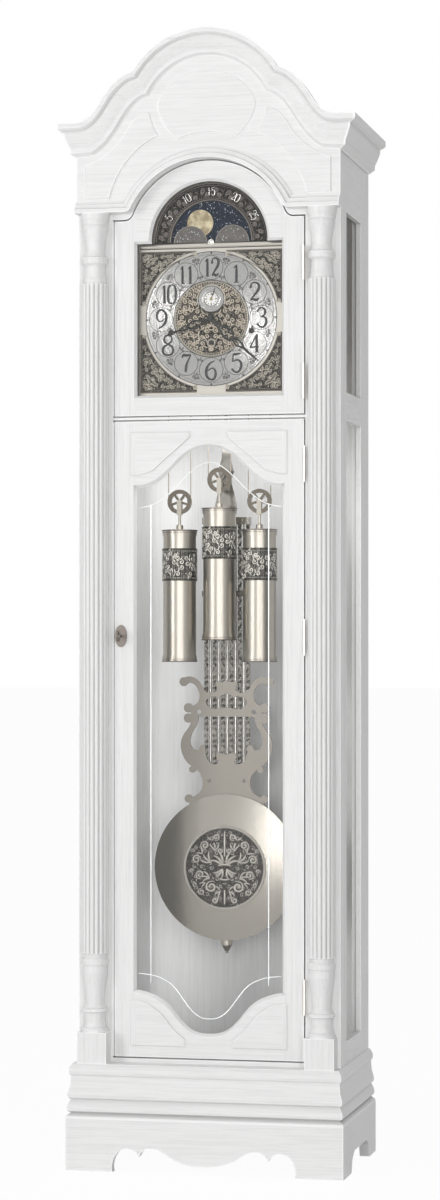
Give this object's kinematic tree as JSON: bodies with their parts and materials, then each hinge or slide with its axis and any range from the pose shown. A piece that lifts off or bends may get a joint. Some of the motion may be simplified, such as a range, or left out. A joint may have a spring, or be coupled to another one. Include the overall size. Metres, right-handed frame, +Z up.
{
  "type": "longcase clock",
  "caption": "White longcase clock with arched bonnet, reeded columns, glazed doors, moon dial, lyre pendulum, cable-hung weights and a working going train.",
  "frame": {"origin": "centre of the base on the floor", "axes": "+Z up, -Y towards the front, +X to the right seen from the front"},
  "size_m": [0.587, 0.366, 2.198],
  "materials": {
    "painted_oak": "white paint over open oak grain, satin",
    "clear_glass": "clear polished glass",
    "antique_nickel": "brushed warm nickel",
    "pewter": "dark antique pewter relief",
    "silvered": "silvered satin",
    "black_steel": "black satin",
    "blue_enamel": "dark blue satin",
    "brass": "polished brass",
    "steel": "plain steel"
  },
  "bodies": {
    "case": {"base_boards": "painted_oak", "base_moulding": "painted_oak", "bottom_board": "painted_oak", "front_frame": "painted_oak", "side_frames": "painted_oak", "side_glass": "clear_glass", "back_panel": "painted_oak", "bonnet_roof": "painted_oak", "columns": "painted_oak", "plinth_blocks": "painted_oak", "bonnet_front": "painted_oak", "arch_moulding": "painted_oak", "crown_moulding": "painted_oak", "bonnet_panels": "painted_oak", "hinge_pins": "brass", "seatboard": "painted_oak", "front_plate": "brass", "back_plate": "brass", "dial_plate": "antique_nickel", "chapter_ring": "silvered", "dial_ornaments": "pewter", "moon_ring": "antique_nickel", "cable_left": "steel", "cable_middle": "steel", "cable_right": "steel"},
    "hood_door": {"hood_door_frame": "painted_oak", "hood_door_glass": "clear_glass", "hood_hinge_leaves": "brass"},
    "trunk_door": {"trunk_door_frame": "painted_oak", "trunk_door_glass": "clear_glass", "trunk_hinge_leaves": "brass", "lock_escutcheon": "antique_nickel"},
    "key": {"lock_key": "antique_nickel"},
    "moon": {"moon_disc": "blue_enamel"},
    "centre": {"centre_wheel": "brass", "minute_hand": "black_steel"},
    "hour": {"hour_wheel": "brass", "hour_hand": "black_steel"},
    "minute_work": {"minute_wheel": "brass"},
    "great": {"great_wheel": "brass"},
    "third": {"third_wheel": "brass"},
    "escape": {"escape_wheel": "brass", "seconds_hand": "black_steel"},
    "anchor": {"anchor_crutch": "steel"},
    "pendulum": {"suspension": "steel", "pendulum_grid": "antique_nickel", "lyre_frame": "antique_nickel", "bob": "antique_nickel"},
    "nut": {"rating_nut": "antique_nickel"},
    "going": {"going_barrel": "brass"},
    "strike": {"strike_barrel": "brass"},
    "chime": {"chime_barrel": "brass"},
    "weight_left": {"weight_left": "antique_nickel"},
    "weight_middle": {"weight_middle": "antique_nickel"},
    "weight_right": {"weight_right": "antique_nickel"},
    "sheave_left": {"pulley_left": "brass"},
    "sheave_middle": {"pulley_middle": "brass"},
    "sheave_right": {"pulley_right": "brass"}
  },
  "joints": [
    {"name": "hood_door_swing", "type": "hinge", "parent": "case", "child": "hood_door", "pos_m": [0.1885, -0.149, 1.65], "axis": [0, 0, 1], "range_deg": [0, 100]},
    {"name": "trunk_door_swing", "type": "hinge", "parent": "case", "child": "trunk_door", "pos_m": [0.1885, -0.137, 0.83], "axis": [0, 0, 1], "range_deg": [0, 100]},
    {"name": "key_turn", "type": "hinge", "parent": "trunk_door", "child": "key", "pos_m": [-0.174, -0.133, 1.032], "axis": [0, 1, 0], "range_deg": [-90, 0]},
    {"name": "moon_turn", "type": "hinge", "parent": "case", "child": "moon", "pos_m": [0, -0.106, 1.788], "axis": [0, 1, 0], "continuous": true},
    {"name": "centre_spin", "type": "hinge", "parent": "case", "child": "centre", "pos_m": [0, -0.073, 1.646], "axis": [0, 1, 0], "continuous": true},
    {"name": "minute_work_spin", "type": "hinge", "parent": "case", "child": "minute_work", "pos_m": [-0.017, -0.078, 1.629], "axis": [0, 1, 0], "continuous": true},
    {"name": "hour_spin", "type": "hinge", "parent": "case", "child": "hour", "pos_m": [0, -0.093, 1.646], "axis": [0, 1, 0], "continuous": true},
    {"name": "great_spin", "type": "hinge", "parent": "case", "child": "great", "pos_m": [0, -0.012, 1.599], "axis": [0, 1, 0], "continuous": true},
    {"name": "third_spin", "type": "hinge", "parent": "case", "child": "third", "pos_m": [0.0124, -0.033, 1.6663], "axis": [0, 1, 0], "continuous": true},
    {"name": "escape_spin", "type": "hinge", "parent": "case", "child": "escape", "pos_m": [0, -0.033, 1.684], "axis": [0, 1, 0], "continuous": true},
    {"name": "pendulum_swing", "type": "hinge", "parent": "case", "child": "pendulum", "pos_m": [0, 0.024, 1.71228], "axis": [0, 1, 0], "range_deg": [-2.5, 2.5]},
    {"name": "anchor_rock", "type": "hinge", "parent": "case", "child": "anchor", "pos_m": [0, -0.008, 1.71228], "axis": [0, 1, 0], "range_deg": [-2.5, 2.5]},
    {"name": "rating_nut_turn", "type": "hinge", "parent": "pendulum", "child": "nut", "pos_m": [0, 0.0318, 0.42548], "axis": [0, 0, 1], "continuous": true},
    {"name": "weight_left_fall", "type": "slide", "parent": "case", "child": "weight_left", "axis": [0, 0, 1], "range_m": [-0.8, 0.15], "deforming": ["cable_left"]},
    {"name": "pulley_left_spin", "type": "hinge", "parent": "weight_left", "child": "sheave_left", "pos_m": [-0.08, -0.036, 1.2957], "axis": [0, 1, 0], "continuous": true},
    {"name": "strike_barrel_spin", "type": "hinge", "parent": "case", "child": "strike", "pos_m": [-0.08, -0.036, 1.621], "axis": [0, 1, 0], "continuous": true},
    {"name": "weight_middle_fall", "type": "slide", "parent": "case", "child": "weight_middle", "axis": [0, 0, 1], "range_m": [-0.8, 0.11], "deforming": ["cable_middle"]},
    {"name": "pulley_middle_spin", "type": "hinge", "parent": "weight_middle", "child": "sheave_middle", "pos_m": [0, -0.036, 1.338], "axis": [0, 1, 0], "continuous": true},
    {"name": "going_barrel_spin", "type": "hinge", "parent": "case", "child": "going", "pos_m": [0, -0.036, 1.599], "axis": [0, 1, 0], "continuous": true},
    {"name": "weight_right_fall", "type": "slide", "parent": "case", "child": "weight_right", "axis": [0, 0, 1], "range_m": [-0.8, 0.15], "deforming": ["cable_right"]},
    {"name": "pulley_right_spin", "type": "hinge", "parent": "weight_right", "child": "sheave_right", "pos_m": [0.08, -0.036, 1.2957], "axis": [0, 1, 0], "continuous": true},
    {"name": "chime_barrel_spin", "type": "hinge", "parent": "case", "child": "chime", "pos_m": [0.08, -0.036, 1.621], "axis": [0, 1, 0], "continuous": true}
  ],
  "couplings": [
    {"joint": "great_spin", "follows": "centre_spin", "ratio": -0.083333},
    {"joint": "third_spin", "follows": "centre_spin", "ratio": -7.5},
    {"joint": "escape_spin", "follows": "centre_spin", "ratio": 60},
    {"joint": "minute_work_spin", "follows": "centre_spin", "ratio": -0.33333},
    {"joint": "hour_spin", "follows": "centre_spin", "ratio": 0.083333},
    {"joint": "anchor_rock", "follows": "pendulum_swing", "ratio": 1},
    {"joint": "pulley_left_spin", "follows": "weight_left_fall", "rad_per_m": -44.843},
    {"joint": "strike_barrel_spin", "follows": "weight_left_fall", "rad_per_m": -89.686},
    {"joint": "pulley_middle_spin", "follows": "weight_middle_fall", "rad_per_m": -44.843},
    {"joint": "going_barrel_spin", "follows": "weight_middle_fall", "rad_per_m": -89.686},
    {"joint": "pulley_right_spin", "follows": "weight_right_fall", "rad_per_m": -44.843},
    {"joint": "chime_barrel_spin", "follows": "weight_right_fall", "rad_per_m": -89.686}
  ]
}
